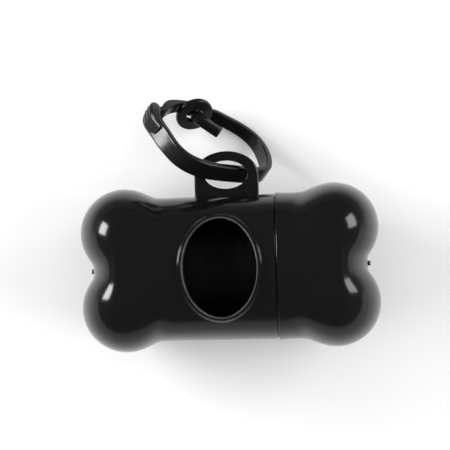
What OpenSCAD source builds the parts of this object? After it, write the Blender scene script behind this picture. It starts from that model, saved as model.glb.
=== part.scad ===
// Bone-shaped waste bag dispenser with a screw-on end cap, a roll of bags and a one-piece clip.
// X runs along the bone towards the cap, Y towards the hanging tab, Z up out of the oval opening.
// The case lies on its back on Z = 0, and the origin is under the middle of the whole object.

/* [Case] */
// Overall length of the closed bone
case_length = 85; // [84:0.5:88]
// Outer radius of the barrel beside the left lobes
barrel_root_r = 20.4; // [20:0.1:20.6]
// Outer radius of the barrel at the seam
barrel_mouth_r = 20.7; // [20.5:0.1:20.9]
// Place of the seam between shell and cap, from the middle of the bone
seam_x = 13.2; // [12:0.1:14]
// Gap between shell and cap at the seam
seam_gap = 0.3; // [0.1:0.05:0.6]
// Radius of each lobe, seen from above
lobe_r = 12.5; // [12:0.1:13]
// Half depth of each lobe, before the blend adds to it
lobe_depth_r = 20.55; // [20.4:0.05:20.6]
// Distance of each lobe's middle from the bone's axis
lobe_y = 10.8; // [10:0.1:11.2]
// How much nearer to the axis a lobe's front and back stand
lobe_pull = 1.6; // [0:0.1:2]
// How much further a lobe's front and back reach along the barrel
lobe_ease = 9; // [0:0.5:10]
// Reach of the notch's floor beyond the lobes' middles
notch_reach = 9.2; // [9:0.1:10]
// Power of the curve from the barrel's front to the notch's floor, where 2 is an ellipse
core_power = 1.7; // [1.6:0.05:2]
// Sharpness of the blend between lobes and barrel at the bone's edge
blend = 24; // [20:1:36]
// How much softer that blend is at the front and back
blend_drop = 12; // [0:1:14]
// Diameter of the moulding gate's nub in each notch
nub_d = 1.5; // [1:0.1:2]
// Height of that nub
nub_height = 0.8; // [0.5:0.1:1]

/* [Screw closure] */
// Outer radius of the cap at the seam
cap_mouth_r = 21.0; // [20.9:0.1:21.3]
// Outer radius of the cap beside its lobes
cap_root_r = 20.8; // [20.6:0.1:21]
// Bore radius of the shell, its neck and the cap's blind end
bore_r = 17.9; // [17.6:0.1:18.1]
// Outer radius of the neck
neck_r = 19; // [18.8:0.1:19.1]
// Length of the neck beyond the seam
neck_length = 9; // [7:0.5:10]
// Bore radius of the cap round the neck, with room for the thread's ridges
cap_bore_r = 19.8; // [19.7:0.1:19.9]
// Depth of the domed floor of each bore
floor_depth = 6.5; // [5:0.5:6.5]

/* [Opening] */
// Place of the opening's middle along the bone
opening_x = -2.2; // [-3:0.1:-1.5]
// Width of the opening along the bone
opening_width = 20.2; // [18:0.1:21]
// Height of the opening across the bone
opening_height = 27.2; // [25:0.1:28]
// Width of the raised rim
rim_width = 1.4; // [1:0.1:1.8]
// Height of the rim above the barrel
rim_proud = 0.9; // [0.6:0.1:1.2]

/* [Hanging tab] */
// Place of the tab's middle along the bone
tab_x = -0.4; // [-0.5:0.1:0]
// Width of the tab
tab_width = 18.4; // [17.6:0.1:18.6]
// Thickness of the tab
tab_thick = 2.5; // [2.2:0.1:2.6]
// Width of the chamfer round the tab's edges
tab_edge = 0.4; // [0.2:0.1:0.6]
// Place of the hole's middle along the bone
hole_x = -0.5; // [-0.6:0.1:-0.4]
// Distance of the hole's middle from the bone's axis
hole_y = 26.6; // [26.4:0.1:26.8]
// Width of the oval hole
hole_width = 12.2; // [12:0.1:12.4]
// Height of the oval hole
hole_height = 8.1; // [8:0.1:8.3]
// Width of the arch over the hole
arch_bar = 2.7; // [2.3:0.1:3]

/* [Clip] */
// Tilt of the clip's loop out of the floor
clip_tilt = 54; // [53.5:0.5:54.5]
// Dip of the loop's long axis towards the cap
clip_dip = 24; // [23.5:0.5:24.5]
// Turn of the loop's long axis from the bone's axis
clip_turn = 21.5; // [21:0.5:22]
// Outer diameter of the eye
eye_d = 11.4; // [11.2:0.1:11.8]
// Thickness of the eye
eye_thick = 1.7; // [1.5:0.1:1.8]
// Slope of the eye's face in the loop
eye_slope = 16; // [15:0.5:17]
// Width of the oval hole in the eye
eye_hole_width = 5.2; // [4.8:0.1:5.4]
// Height of the oval hole in the eye
eye_hole_height = 4.2; // [3.9:0.1:4.4]
// Diameter of the hook
hook_d = 3.2; // [3:0.1:3.3]
// Distance of the hook's root from the middle of the eye's hole
hook_off = 0.6; // [0:0.1:0.7]
// Length of the hook's straight root, from the gate's outer face
hook_root = 4.2; // [4:0.1:4.6]
// Radius of the hook's bend
hook_bend_r = 1.8; // [1.6:0.1:2.2]
// Angle that the hook is bent through
hook_bend = 50; // [44:1:54]
// Length of the hook's straight tail
hook_tail = 5.4; // [4.5:0.1:6]
// Thickness of the flexing web between band and gate
web_thick = 0.9; // [0.7:0.1:1.1]
// Width of the web
web_width = 3.6; // [3.2:0.1:3.7]
// Length of the web, with the ends that sit in band and gate
web_length = 2.8; // [2.6:0.1:3]

/* [Roll of bags] */
// Outer radius of the roll
roll_r = 15.6; // [14:0.1:15.7]
// Length of the roll
roll_length = 58; // [54:0.5:58.5]
// Outer radius of the card core
core_r = 7.5; // [6:0.1:9]
// Wall of the card core
core_wall = 0.8; // [0.5:0.1:1.2]

/* [Hidden] */
$fn = 96;
shell_black = "#17181a";
clip_black = "#141416";
film_black = "#0c0c0d";
card_grey = "#4a4038";

lobe_x = case_length / 2 - lobe_r;
blend_start = 16;
barrel_overlap = 0.6;
barrel_dive = 1;
skin = 0.12;
around = 72;
tube_rings = 10;
end_rings = 28;
dome_steps = 8;
oval_steps = 72;
tall = 30;
axis_z = 21.05;
back_y = -13.35;

nub_seat_r = nub_d / 2 + 0.35;
nub_seat_depth = 0.4;
nub_gap = 0.05;

roll_drop = bore_r - roll_r - 0.35;
film_gap = 0.05;
seat_gap = 0.02;

// Middle of the clip's loop, from the bone's axis
clip_middle = [-5.1, 36.3, -6.8];
// Middle of the eye in the loop's plane
eye_at = [-4.4, 12.2];
// Middle of the web in the loop's plane, and its slope
web_at = [-16.5, 5.2];
web_slope = 28;
// The band from the eye round to the web: across, up, width, thickness and how far it stands out of the
// loop's plane at each point
band_points = [[-1.6, 14.1, 3.1, 1.5, 0], [1.4, 14.6, 3.7, 1.9, 0.5], [4.6, 13.2, 3.9, 1.9, 1],
               [7.8, 12.4, 3.9, 1.9, 1.1], [11.6, 11.1, 4, 1.9, 1.1], [15, 8.9, 4.3, 1.9, 0.9],
               [17.6, 4.4, 4.8, 1.9, 0.6], [18.3, -0.6, 5.1, 1.9, 0.5], [17, -5.4, 5.3, 1.9, 0.3],
               [12.8, -8.1, 5.4, 1.9, 0.1], [3.3, -12, 5.5, 1.9, 0], [-5.1, -14.1, 5.5, 1.9, 0],
               [-10, -13, 5.5, 1.9, 0], [-14.9, -7.3, 5.5, 2, 0], [-17.5, -2.5, 5.5, 2.4, 0],
               [-19, 0.9, 5.5, 3.1, 0], [-18.8, 4.4, 5.1, 3.3, 0], [-18.3, 6, 4.4, 2.2, 0]];
// The gate from the web to its end over the eye, in the same way
gate_points = [[-15.6, 5.6, 3.7, 1.6, 0], [-14.3, 8.4, 3.8, 2, 0], [-10.8, 12.6, 3.8, 1.8, 0],
               [-7.5, 13.9, 4.2, 1.4, 0], [-4.4, 14.6, 5, 1.3, 0], [-2.2, 15.1, 4.4, 1.1, 0]];
spline_steps = 4;
hook_sides = 16;

// The n angles that divide a circle into even steps, in degrees
function circle_angles(n) = [for (i = [0:n - 1]) 360 * i / n];

// Distance to the far side of an ellipsoid of radii r, from a point seen from its middle, along d
function far_side(from, d, r) =
    let (p = [from.x / r.x, from.y / r.y, from.z / r.z],
         q = [d.x / r.x, d.y / r.y, d.z / r.z],
         root = (p * q) ^ 2 - (q * q) * (p * p - 1))
    root > 0 ? max(0, (sqrt(root) - p * q) / (q * q)) : 0;

// Distance to one lobe, on the side that side names, from the axis at x
function lobe_reach(x, d, side) =
    let (run = x - lobe_x,
         eased = run < 0 ? run * lobe_r / (lobe_r + lobe_ease * d.z ^ 2) : run)
    far_side([eased, -side * (lobe_y - lobe_pull * d.z ^ 2), 0], d, [lobe_r, lobe_r, lobe_depth_r]);

// Smooth outer join of the core and both lobes
function joined(core, left, right, power) = (core ^ power + left ^ power + right ^ power) ^ (1 / power);

// One point of the bone's end: a ray leaves the axis at x, leans by lean and turns to turn
function end_point(x, lean, turn, r) =
    let (d = [sin(lean), cos(lean) * cos(turn), cos(lean) * sin(turn)],
         core = ((sin(lean) / notch_reach) ^ core_power + (cos(lean) / r) ^ core_power) ^ (-1 / core_power))
    [x, 0, 0] + d * joined(core, lobe_reach(x, d, 1), lobe_reach(x, d, -1), blend - blend_drop * d.z ^ 2);

// Catmull-Rom curve through rows of numbers, with its end rows doubled
function row(points, i) = points[max(0, min(len(points) - 1, i))];
function curve_row(a, b, c, d, t) =
    (2 * b + (c - a) * t + (2 * a - 5 * b + 4 * c - d) * t ^ 2 + (3 * b - a - 3 * c + d) * t ^ 3) / 2;
function curve(points) = concat(
    [for (i = [0:len(points) - 2], s = [0:spline_steps - 1])
        curve_row(row(points, i - 1), points[i], points[i + 1], row(points, i + 2), s / spline_steps)],
    [points[len(points) - 1]]);

// Oval outline of half width a and half height b
function oval(a, b) = [for (t = circle_angles(oval_steps)) [a * cos(t), b * sin(t)]];

// A profile of [radius, place along X], turned round the bone's axis
module turned(profile) {
    rotate([0, 90, 0]) rotate_extrude() polygon(profile);
}

// A stack of rings, each turned right-handed about the way they run, closed by a flat face at the start
// and by a point or a flat face at the end
module lofted(rings, tip) {
    n = len(rings[0]);
    m = len(rings);
    sides = [for (j = [0:m - 2], i = [0:n - 1], half = [0, 1])
        let (k = (i + 1) % n)
        half == 0 ? [j * n + i, (j + 1) * n + k, j * n + k] : [j * n + i, (j + 1) * n + i, (j + 1) * n + k]];
    start = [[for (i = [0:n - 1]) i]];
    end = len(tip) > 0 ? [for (i = [0:n - 1]) [(m - 1) * n + i, m * n, (m - 1) * n + (i + 1) % n]]
                       : [[for (i = [n - 1:-1:0]) (m - 1) * n + i]];
    polyhedron(concat([for (ring = rings) each ring], tip), concat(start, sides, end));
}

// Lobed end of the bone on the +X side, for a barrel of radius r
module lobed_end(r) {
    places = concat([for (i = [0:tube_rings - 1]) [blend_start + (lobe_x - blend_start) * i / tube_rings, 0]],
                    [for (i = [0:end_rings - 1]) [lobe_x, 90 * i / end_rings]]);
    rings = [for (place = places) [for (turn = circle_angles(around)) end_point(place[0], place[1], turn, r)]];
    lofted(rings, [end_point(lobe_x, 90, 0, r)]);
}

// Straight bore from the axis place start, with its domed floor behind the lobes
module domed_bore(start) {
    dome = [for (i = [0:dome_steps]) let (t = 90 * i / dome_steps)
        [bore_r * cos(t), lobe_x + floor_depth * sin(t)]];
    turned(concat([[0, start], [bore_r, start]], dome));
}

// Outline of the tab, with its root inside the barrel's wall
module tab_outline(inset) {
    half = tab_width / 2 - inset;
    rise = hole_height / 2 + arch_bar - inset;
    root_y = barrel_root_r - 1.6;
    arch = [for (i = [0:oval_steps / 2]) let (t = 360 * i / oval_steps)
        [tab_x + half * cos(t), hole_y + rise * sin(t)]];
    polygon(concat(arch, [[tab_x - half, root_y], [tab_x + half, root_y]]));
}

// The flat tab with its edges chamfered on both faces
module tab() {
    inner = tab_thick - 2 * tab_edge;
    translate([0, 0, -tab_thick / 2]) linear_extrude(tab_thick) tab_outline(tab_edge);
    translate([0, 0, -inner / 2]) linear_extrude(inner) tab_outline(0);
}

// Raised rim round the opening, which follows the barrel
module rim_blank() {
    reach = opening_width / 2 + rim_width;
    rim_r = barrel_root_r + rim_proud + 0.15;
    intersection() {
        translate([opening_x, 0, barrel_root_r / 3])
            linear_extrude(tall) polygon(oval(reach, opening_height / 2 + rim_width));
        turned([[0, opening_x - reach - 1], [rim_r, opening_x - reach - 1],
                [rim_r, opening_x + reach + 1], [0, opening_x + reach + 1]]);
    }
}

// Places a piece that is drawn round the bone's axis
module on_axis() {
    translate([0, back_y, axis_z]) children();
}

// Places a piece that is drawn in the plane of the clip's loop
module on_loop() {
    on_axis() translate(clip_middle) rotate([-clip_tilt, clip_dip, -clip_turn]) children();
}

// Left two thirds of the bone: barrel, lobes, rim, tab and screw neck in one moulding
module main_shell() {
    mouth = seam_x - seam_gap / 2;
    color(shell_black) on_axis() difference() {
        union() {
            mirror([1, 0, 0]) lobed_end(barrel_root_r);
            turned([[0, -blend_start - barrel_overlap], [barrel_root_r - barrel_dive, -blend_start - barrel_overlap],
                    [barrel_root_r + skin, -blend_start], [barrel_mouth_r, mouth], [neck_r, mouth], [neck_r, seam_x + neck_length - 0.5],
                    [neck_r - 0.5, seam_x + neck_length], [0, seam_x + neck_length]]);
            rim_blank();
            tab();
            translate([-lobe_x - notch_reach - nub_height, 0, 0])
                rotate([0, 90, 0]) cylinder(d = nub_d, h = nub_height + 1);
        }
        mirror([1, 0, 0]) domed_bore(-seam_x - neck_length - 1);
        translate([opening_x, 0, 0]) linear_extrude(tall) polygon(oval(opening_width / 2, opening_height / 2));
        translate([hole_x, hole_y, -tall / 2]) linear_extrude(tall) polygon(oval(hole_width / 2, hole_height / 2));
    }
}

// Right third of the bone, screwed over the neck
module cap_shell() {
    mouth = seam_x + seam_gap / 2;
    shoulder = seam_x + neck_length + 0.8;
    pole = lobe_x + notch_reach;
    color(shell_black) on_axis() difference() {
        union() {
            lobed_end(cap_root_r);
            turned([[0, mouth], [cap_mouth_r - 0.25, mouth], [cap_mouth_r, mouth + 0.25],
                    [cap_root_r + skin, blend_start], [cap_root_r - barrel_dive, blend_start + barrel_overlap],
                    [0, blend_start + barrel_overlap]]);
        }
        domed_bore(shoulder - 1);
        turned([[0, seam_x - 1], [cap_bore_r, seam_x - 1], [cap_bore_r, shoulder - 0.4],
                [bore_r, shoulder + 1.4], [0, shoulder + 1.4]]);
        translate([pole - nub_seat_depth, 0, 0]) rotate([0, 90, 0]) cylinder(r = nub_seat_r, h = 2);
    }
}

// Trimmed stub of the moulding gate in the cap's notch
module cap_gate_nub() {
    seat = lobe_x + notch_reach - nub_seat_depth + nub_gap;
    color(shell_black) on_axis() translate([seat, 0, 0]) rotate([0, 90, 0])
        cylinder(d1 = nub_d, d2 = nub_d - 0.2, h = nub_seat_depth + nub_height);
}

// A flat band with bevelled corners, swept along rows of [across, up, width, thickness, offset]
module swept_band(points) {
    path = curve(points);
    rings = [for (i = [0:len(path) - 1])
        let (ahead = row(path, i + 1), behind = row(path, i - 1),
             run = [ahead[0] - behind[0], ahead[1] - behind[1]],
             out = [-run.y, run.x] / norm(run),
             here = [path[i][0], path[i][1]],
             w = path[i][2] / 2, t = path[i][3] / 2, c = t * 0.45)
        [for (k = [[t - c, w], [c - t, w], [-t, w - c], [-t, c - w],
                   [c - t, -w], [t - c, -w], [t, c - w], [t, w - c]])
            [here.x + out.x * k[0], here.y + out.y * k[0], path[i][4] + k[1]]]];
    lofted(rings, []);
}

// The web's block in the loop's plane, grown by gap on every side
module web_block(gap) {
    translate([web_at.x, web_at.y, 0]) rotate([0, 0, web_slope])
        cube([web_length + 2 * gap, web_thick + 2 * gap, web_width + 2 * gap], center = true);
}

// Places a piece on the eye's axis, its Z pointing into the loop
module on_eye() {
    translate([eye_at.x, eye_at.y, 0]) rotate([0, 0, eye_slope]) rotate([90, 0, 0]) children();
}

// Long band of the clip, from the flat eye round to the flexing web
module clip_frame() {
    half = eye_thick / 2;
    edge = 0.35;
    slot = (eye_hole_width - eye_hole_height) / 2;
    color(clip_black) on_loop() difference() {
        union() {
            swept_band(band_points);
            on_eye() rotate_extrude()
                polygon([[0, -half], [eye_d / 2 - edge, -half], [eye_d / 2, edge - half],
                         [eye_d / 2, half - edge], [eye_d / 2 - edge, half], [0, half]]);
        }
        on_eye() {
            for (side = [-1, 1]) translate([side * slot, 0, -2]) cylinder(d = eye_hole_height, h = 4);
            cube([2 * slot, eye_hole_height, 4], center = true);
        }
        web_block(seat_gap);
    }
}

// Thin web that the gate bends on
module clip_hinge() {
    color(clip_black) on_loop() web_block(0);
}

// Place of the hook's root, on the eye's axis, on the gate's outer face
module on_hook_root() {
    on_eye() translate([hook_off, 0, -hook_root + 1]) children();
}

// Short arm of the clip, which carries the hook over the eye
module clip_gate() {
    color(clip_black) on_loop() difference() {
        swept_band(gate_points);
        on_hook_root() translate([0, 0, -2]) cylinder(d = hook_d + 2 * seat_gap, h = hook_root);
        web_block(seat_gap);
    }
}

// Middle line of the hook: down its straight root, round the bend, along the tail and into its domed tip,
// as [place along the loop, depth below the root, lean, radius]
function hook_line() =
    let (r = hook_d / 2, bends = 6, domes = 3,
         bend_end = [hook_bend_r * (1 - cos(hook_bend)), hook_root + hook_bend_r * sin(hook_bend)],
         way = [sin(hook_bend), cos(hook_bend)])
    concat([[0, 0, 0, r]],
           [for (i = [0:bends]) let (t = hook_bend * i / bends)
               [hook_bend_r * (1 - cos(t)), hook_root + hook_bend_r * sin(t), t, r]],
           [for (i = [0:domes]) let (t = 80 * i / domes, at = bend_end + way * (hook_tail + r * sin(t)))
               [at.x, at.y, hook_bend, r * cos(t)]]);

// Hook that passes through the eye and lies inside the loop
module clip_hook() {
    rings = [for (line = hook_line()) [for (a = circle_angles(hook_sides))
        [line[0] + line[3] * cos(a) * cos(line[2]), line[3] * sin(a), line[1] - line[3] * cos(a) * sin(line[2])]]];
    color(clip_black) on_loop() on_hook_root() lofted(rings, []);
}

// Bags wound on the core
module bag_roll() {
    r = core_r + film_gap;
    color(film_black) on_axis() translate([0, 0, -roll_drop])
        turned([[r, -roll_length / 2], [roll_r - 0.4, -roll_length / 2], [roll_r, 0.4 - roll_length / 2],
                [roll_r, roll_length / 2 - 0.4], [roll_r - 0.4, roll_length / 2], [r, roll_length / 2]]);
}

// Card tube in the middle of the roll
module bag_core() {
    half = roll_length / 2;
    r = core_r - core_wall;
    color(card_grey) on_axis() translate([0, 0, -roll_drop])
        turned([[r, -half], [core_r, -half], [core_r, half], [r, half]]);
}

main_shell();
cap_shell();
cap_gate_nub();
clip_frame();
clip_hinge();
clip_gate();
clip_hook();
bag_roll();
bag_core();
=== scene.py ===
"""Looks of a bone-shaped dispenser for dog waste bags, built over its packed construction.

The two glossy shells, the hanging tab, the loop clip, the roll of bags and its card core are worked
out as surfaces on grids of points, in millimetres, and put into Blender in metres in the
construction's frame: +X towards the screw cap, +Y towards the tab, +Z out of the opening. The case
and the roll are drawn round the bone's own axis, and the clip in the plane of its loop.
"""

from __future__ import annotations

import logging
import math
from collections.abc import Callable
from dataclasses import dataclass, field
from enum import Enum

import bmesh
import bpy
import numpy as np
from mathutils import Matrix, Vector

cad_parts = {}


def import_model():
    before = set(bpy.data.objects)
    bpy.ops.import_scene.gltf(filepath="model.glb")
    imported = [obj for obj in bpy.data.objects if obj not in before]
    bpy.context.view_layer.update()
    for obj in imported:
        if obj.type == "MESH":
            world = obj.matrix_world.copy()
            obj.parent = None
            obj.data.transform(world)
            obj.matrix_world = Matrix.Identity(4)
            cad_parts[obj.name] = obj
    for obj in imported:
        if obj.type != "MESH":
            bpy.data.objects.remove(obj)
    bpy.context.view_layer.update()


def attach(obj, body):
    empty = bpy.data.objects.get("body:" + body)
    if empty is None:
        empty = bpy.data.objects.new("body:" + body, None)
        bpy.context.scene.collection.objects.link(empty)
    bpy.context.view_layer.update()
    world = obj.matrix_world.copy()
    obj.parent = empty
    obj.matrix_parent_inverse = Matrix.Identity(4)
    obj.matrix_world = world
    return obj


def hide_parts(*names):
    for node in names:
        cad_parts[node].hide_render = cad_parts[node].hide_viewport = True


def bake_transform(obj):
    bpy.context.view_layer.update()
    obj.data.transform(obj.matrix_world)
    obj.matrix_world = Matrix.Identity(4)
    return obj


LOG = logging.getLogger("dispenser")
MM = 0.001
FULL_TURN = 2 * math.pi
AROUND = 240
WELD = 2e-6


# Grids of points and the meshes made of them


@dataclass
class Patch:
    """A grid of points on one surface, in millimetres.

    wrap_rows joins the last row to the first, and wrap_columns the last column to the first.
    """

    points: np.ndarray
    wrap_rows: bool = False
    wrap_columns: bool = True

    def faces(self, first: int) -> np.ndarray:
        """Lists the grid's four-sided faces as point numbers.

        Args:
            first: Number of the grid's first point in the whole mesh.

        Returns:
            One row of four point numbers for each face.
        """
        rows, columns = self.points.shape[:2]
        row = np.arange(rows if self.wrap_rows else rows - 1)[:, None]
        column = np.arange(columns if self.wrap_columns else columns - 1)[None, :]
        here, below = row * columns, (row + 1) % rows * columns
        after = (column + 1) % columns
        corners = [here + column, here + after, below + after, below + column]
        return first + np.stack(corners, axis=-1).reshape(-1, 4)


def scene_object(name: str, data: bpy.types.ID) -> bpy.types.Object:
    """Makes an object of a mesh, light or camera.

    Args:
        name: Name of the new object.
        data: The mesh, light or camera.

    Returns:
        The object, linked to the scene.
    """
    thing = bpy.data.objects.new(name, data)
    bpy.context.scene.collection.objects.link(thing)
    return thing


def mesh_object(name: str, move: Callable[[np.ndarray], np.ndarray],
                *patches: Patch) -> bpy.types.Object:
    """Joins patches into one smooth object whose place is in its mesh.

    Points that meet are welded, which also closes the poles, and the faces are turned outwards.

    Args:
        name: Name of the new object.
        move: Takes points, in millimetres, into the construction's frame.
        patches: The patches.

    Returns:
        The object, linked to the scene.
    """
    points = move(np.concatenate([patch.points.reshape(-1, 3) for patch in patches])) * MM
    starts = np.cumsum([0] + [patch.points[..., 0].size for patch in patches])
    faces = np.concatenate([patch.faces(int(start)) for patch, start in zip(patches, starts)])
    mesh = bpy.data.meshes.new(name)
    mesh.vertices.add(len(points))
    mesh.vertices.foreach_set("co", points.astype(np.float32).ravel())
    mesh.loops.add(faces.size)
    mesh.loops.foreach_set("vertex_index", faces.astype(np.int32).ravel())
    mesh.polygons.add(len(faces))
    mesh.polygons.foreach_set("loop_start", np.arange(0, faces.size, 4, dtype=np.int32))
    mesh.update(calc_edges=True)
    welder = bmesh.new()
    welder.from_mesh(mesh)
    bmesh.ops.remove_doubles(welder, verts=welder.verts, dist=WELD)
    bmesh.ops.dissolve_degenerate(welder, edges=welder.edges, dist=1e-7)
    bmesh.ops.recalc_face_normals(welder, faces=welder.faces)
    welder.to_mesh(mesh)
    welder.free()
    mesh.polygons.foreach_set("use_smooth", np.ones(len(mesh.polygons), dtype=bool))
    mesh.update()
    return scene_object(name, mesh)


def full_circle(count: int) -> np.ndarray:
    """Angles that divide a full turn into count equal steps."""
    return np.arange(count) * FULL_TURN / count


def quarter_turn(count: int = 6) -> np.ndarray:
    """Evenly spaced angles from 0 to a quarter turn, both included."""
    return np.linspace(0.0, math.pi / 2, count)


def circle(turn: np.ndarray) -> np.ndarray:
    """Points of the unit circle: the cosine and the sine of each angle."""
    return np.stack([np.cos(turn), np.sin(turn)], axis=-1)


def around(x: np.ndarray, radius: np.ndarray, turn: np.ndarray) -> np.ndarray:
    """Points at a radius from the axis, turned from +Z towards +Y."""
    return np.stack(np.broadcast_arrays(x, radius * np.sin(turn), radius * np.cos(turn)), axis=-1)


def straight(start: tuple[float, float], stop: tuple[float, float], count: int) -> np.ndarray:
    """Evenly spaced rows from start up to, but not with, stop."""
    share = np.arange(count)[:, None] / count
    return np.array(start) * (1 - share) + np.array(stop) * share


def corner(centre: tuple[float, float], radius: float, first: float, last: float) -> np.ndarray:
    """Rows of a round corner about centre, from angle first to angle last, in degrees from +X."""
    return np.array(centre) + radius * circle(np.radians(np.linspace(first, last, 6)))


def smooth_step(low: float, high: float, value: np.ndarray) -> np.ndarray:
    """Rises from 0 at low to 1 at high with level ends: 3 t squared less 2 t cubed."""
    share = np.clip((value - low) / (high - low), 0.0, 1.0)
    return share * share * (3.0 - 2.0 * share)


def run_and_side(path: np.ndarray) -> tuple[np.ndarray, np.ndarray]:
    """Unit vectors along a path, and square to it on its left.

    Args:
        path: Rows of (across, up).

    Returns:
        Both, one row for each row of the path.
    """
    run = np.gradient(path, axis=0)
    run /= np.linalg.norm(run, axis=1)[:, None]
    return run, np.stack([-run[:, 1], run[:, 0]], axis=-1)


def spline(knots: np.ndarray, steps: int) -> np.ndarray:
    """Runs a curve through rows of numbers with no break in its bending.

    A natural cubic spline: its second differences at the knots solve one system of equations, and
    each span is the cubic that has them at its ends. The spans are as long as the chords.

    Args:
        knots: One row for each knot.
        steps: Points for each span.

    Returns:
        The points of the curve, its first and last knots included.
    """
    count = len(knots)
    chords = np.linalg.norm(np.diff(knots[:, :2], axis=0), axis=1)
    system = np.zeros((count, count))
    system[0, 0] = system[-1, -1] = 1.0
    inner = np.arange(1, count - 1)
    system[inner, inner - 1] = chords[:-1]
    system[inner, inner] = 2.0 * (chords[:-1] + chords[1:])
    system[inner, inner + 1] = chords[1:]
    right = np.zeros_like(knots)
    right[1:-1] = 6.0 * np.diff(np.diff(knots, axis=0) / chords[:, None], axis=0)
    bends = np.linalg.solve(system, right)
    span = np.append(np.repeat(np.arange(count - 1), steps), count - 2)
    far = np.append(np.tile(np.arange(steps) / steps, count - 1), 1.0)[:, None]
    near = 1 - far
    sixth = chords[span][:, None] ** 2 / 6
    bend_near, bend_far = bends[span] * sixth, bends[span + 1] * sixth
    chord = near * (knots[span] - bend_near) + far * (knots[span + 1] - bend_far)
    return chord + near**3 * bend_near + far**3 * bend_far


def rounded_section(width: np.ndarray, thickness: np.ndarray, radius: np.ndarray) -> np.ndarray:
    """Outlines of rectangles with rounded corners, one for each width, thickness and radius.

    Each corner is a quarter circle, and each flat side has two more points close to its ends, so
    that the flat stays flat in the light.

    Args:
        width: Width of each rectangle.
        thickness: Thickness of each rectangle.
        radius: Radius of its corners.

    Returns:
        An array of outlines, each a closed ring of points (across the thickness, along the width).
    """
    least_flat, most_lead = 0.01, 0.12
    flat = np.maximum(np.stack([thickness, width], axis=-1) / 2 - radius[:, None], least_flat)
    lead = np.minimum(most_lead, flat)
    ring = []
    for number, sides in enumerate(((1, 1), (-1, 1), (-1, -1), (1, -1))):
        turn = quarter_turn() + number * math.pi / 2
        arc = (flat * np.array(sides))[:, None, :] + radius[:, None, None] * circle(turn)
        before = arc[:, 0] + np.array([math.sin(turn[0]), -math.cos(turn[0])]) * lead
        after = arc[:, -1] + np.array([-math.sin(turn[-1]), math.cos(turn[-1])]) * lead
        ring += [before[:, None], arc, after[:, None]]
    return np.concatenate(ring, axis=1)


def rounded_edge(ring: np.ndarray, half: float, radius: float,
                 side: int) -> list[tuple[np.ndarray, float]]:
    """Rings over a quarter round between a plate's upper face and its wall.

    Args:
        ring: Outline of the wall, a closed ring of (x, y) that runs anticlockwise.
        half: Half the plate's thickness.
        radius: Radius of the round.
        side: 1 if the plate is inside the ring, -1 if it is outside.

    Returns:
        Rings and their levels, from the face to the wall.
    """
    run = np.roll(ring, -1, axis=0) - np.roll(ring, 1, axis=0)
    out = np.stack([run[:, 1], -run[:, 0]], axis=-1)
    out *= side / np.linalg.norm(out, axis=1)[:, None]
    return [(ring - out * radius * (1 - math.sin(turn)), half - radius * (1 - math.cos(turn)))
            for turn in quarter_turn()]


def plate_patch(outer: np.ndarray, inner: np.ndarray, thickness: float,
                rounds: tuple[float, float]) -> Patch:
    """A flat plate with one hole, as a ring that runs round the plate and round its own section.

    The section goes along the upper face from the hole to the rim, over the rim's quarter rounds,
    back along the lower face and up the hole's wall.

    Args:
        outer: Outline of the plate, a closed ring of (x, y).
        inner: Outline of the hole, point for point opposite the outer one.
        thickness: Thickness of the plate, along z.
        rounds: Radius of the plate's edges and of the hole's edges.

    Returns:
        The closed patch, with z from minus to plus half the thickness.
    """
    half = thickness / 2
    rim = rounded_edge(outer, half, rounds[0], 1)
    hole = rounded_edge(inner, half, rounds[1], -1)[::-1]
    face = [(hole[-1][0] * (1 - share) + rim[0][0] * share, half) for share in (0.04, 0.3, 0.6, 0.96)]
    upper = hole + face + rim
    rows = upper + [(xy, -level) for xy, level in upper[::-1]]
    points = np.stack([np.column_stack([xy, np.full(len(xy), level)]) for xy, level in rows])
    return Patch(points, wrap_rows=True)


def swept_rings(path: np.ndarray, edge: float, end_round: float,
                twist: np.ndarray | float = 0.0) -> np.ndarray:
    """A flat band swept in a plane, with rounded corners and rounded ends.

    At each point of the path the section stands square to the run. The sections shrink over the
    last stretch at both ends, along a quarter circle, and close in a point.

    Args:
        path: Rows of (across, up, width, thickness, offset out of the plane).
        edge: Radius of the band's long corners.
        end_round: Length over which the ends are rounded.
        twist: Turn of the section about the run, in radians, for each row of the path or for all.

    Returns:
        Rings of points (across, up, along the width).
    """
    smallest, most_round = 0.02, 0.45
    run, side = run_and_side(path[:, :2])
    turn = quarter_turn()[::-1, None]
    ends = []
    for index, sign in ((0, -1), (-1, 1)):
        centre = path[index, :2] + sign * end_round * (np.cos(turn) - 1.0) * run[index]
        size = np.maximum(path[index, 2:4] - 2 * end_round * (1.0 - np.sin(turn)), smallest)
        ends.append(np.column_stack([centre, size, np.full(len(turn), path[index, 4])]))
    whole = np.concatenate([ends[0][::-1], path[1:-1], ends[1]])
    more = len(turn) - 1
    side = np.pad(side, ((more, more), (0, 0)), mode="edge")
    lean = np.pad(np.broadcast_to(twist, len(path)), more, mode="edge")[:, None]
    width, thickness = whole[:, 2], whole[:, 3]
    radius = np.minimum(edge, most_round * np.minimum(width, thickness))
    across, along = np.moveaxis(rounded_section(width, thickness, radius), -1, 0)
    leant = (across * np.cos(lean) - along * np.sin(lean))[..., None]
    height = (across * np.sin(lean) + along * np.cos(lean))[..., None] + whole[:, None, 4:]
    rings = np.concatenate([whole[:, None, :2] + side[:, None, :] * leant, height], axis=-1)
    rings[[0, -1]] = rings[[0, -1]].mean(axis=1, keepdims=True)
    return rings


# Shader maths


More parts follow.
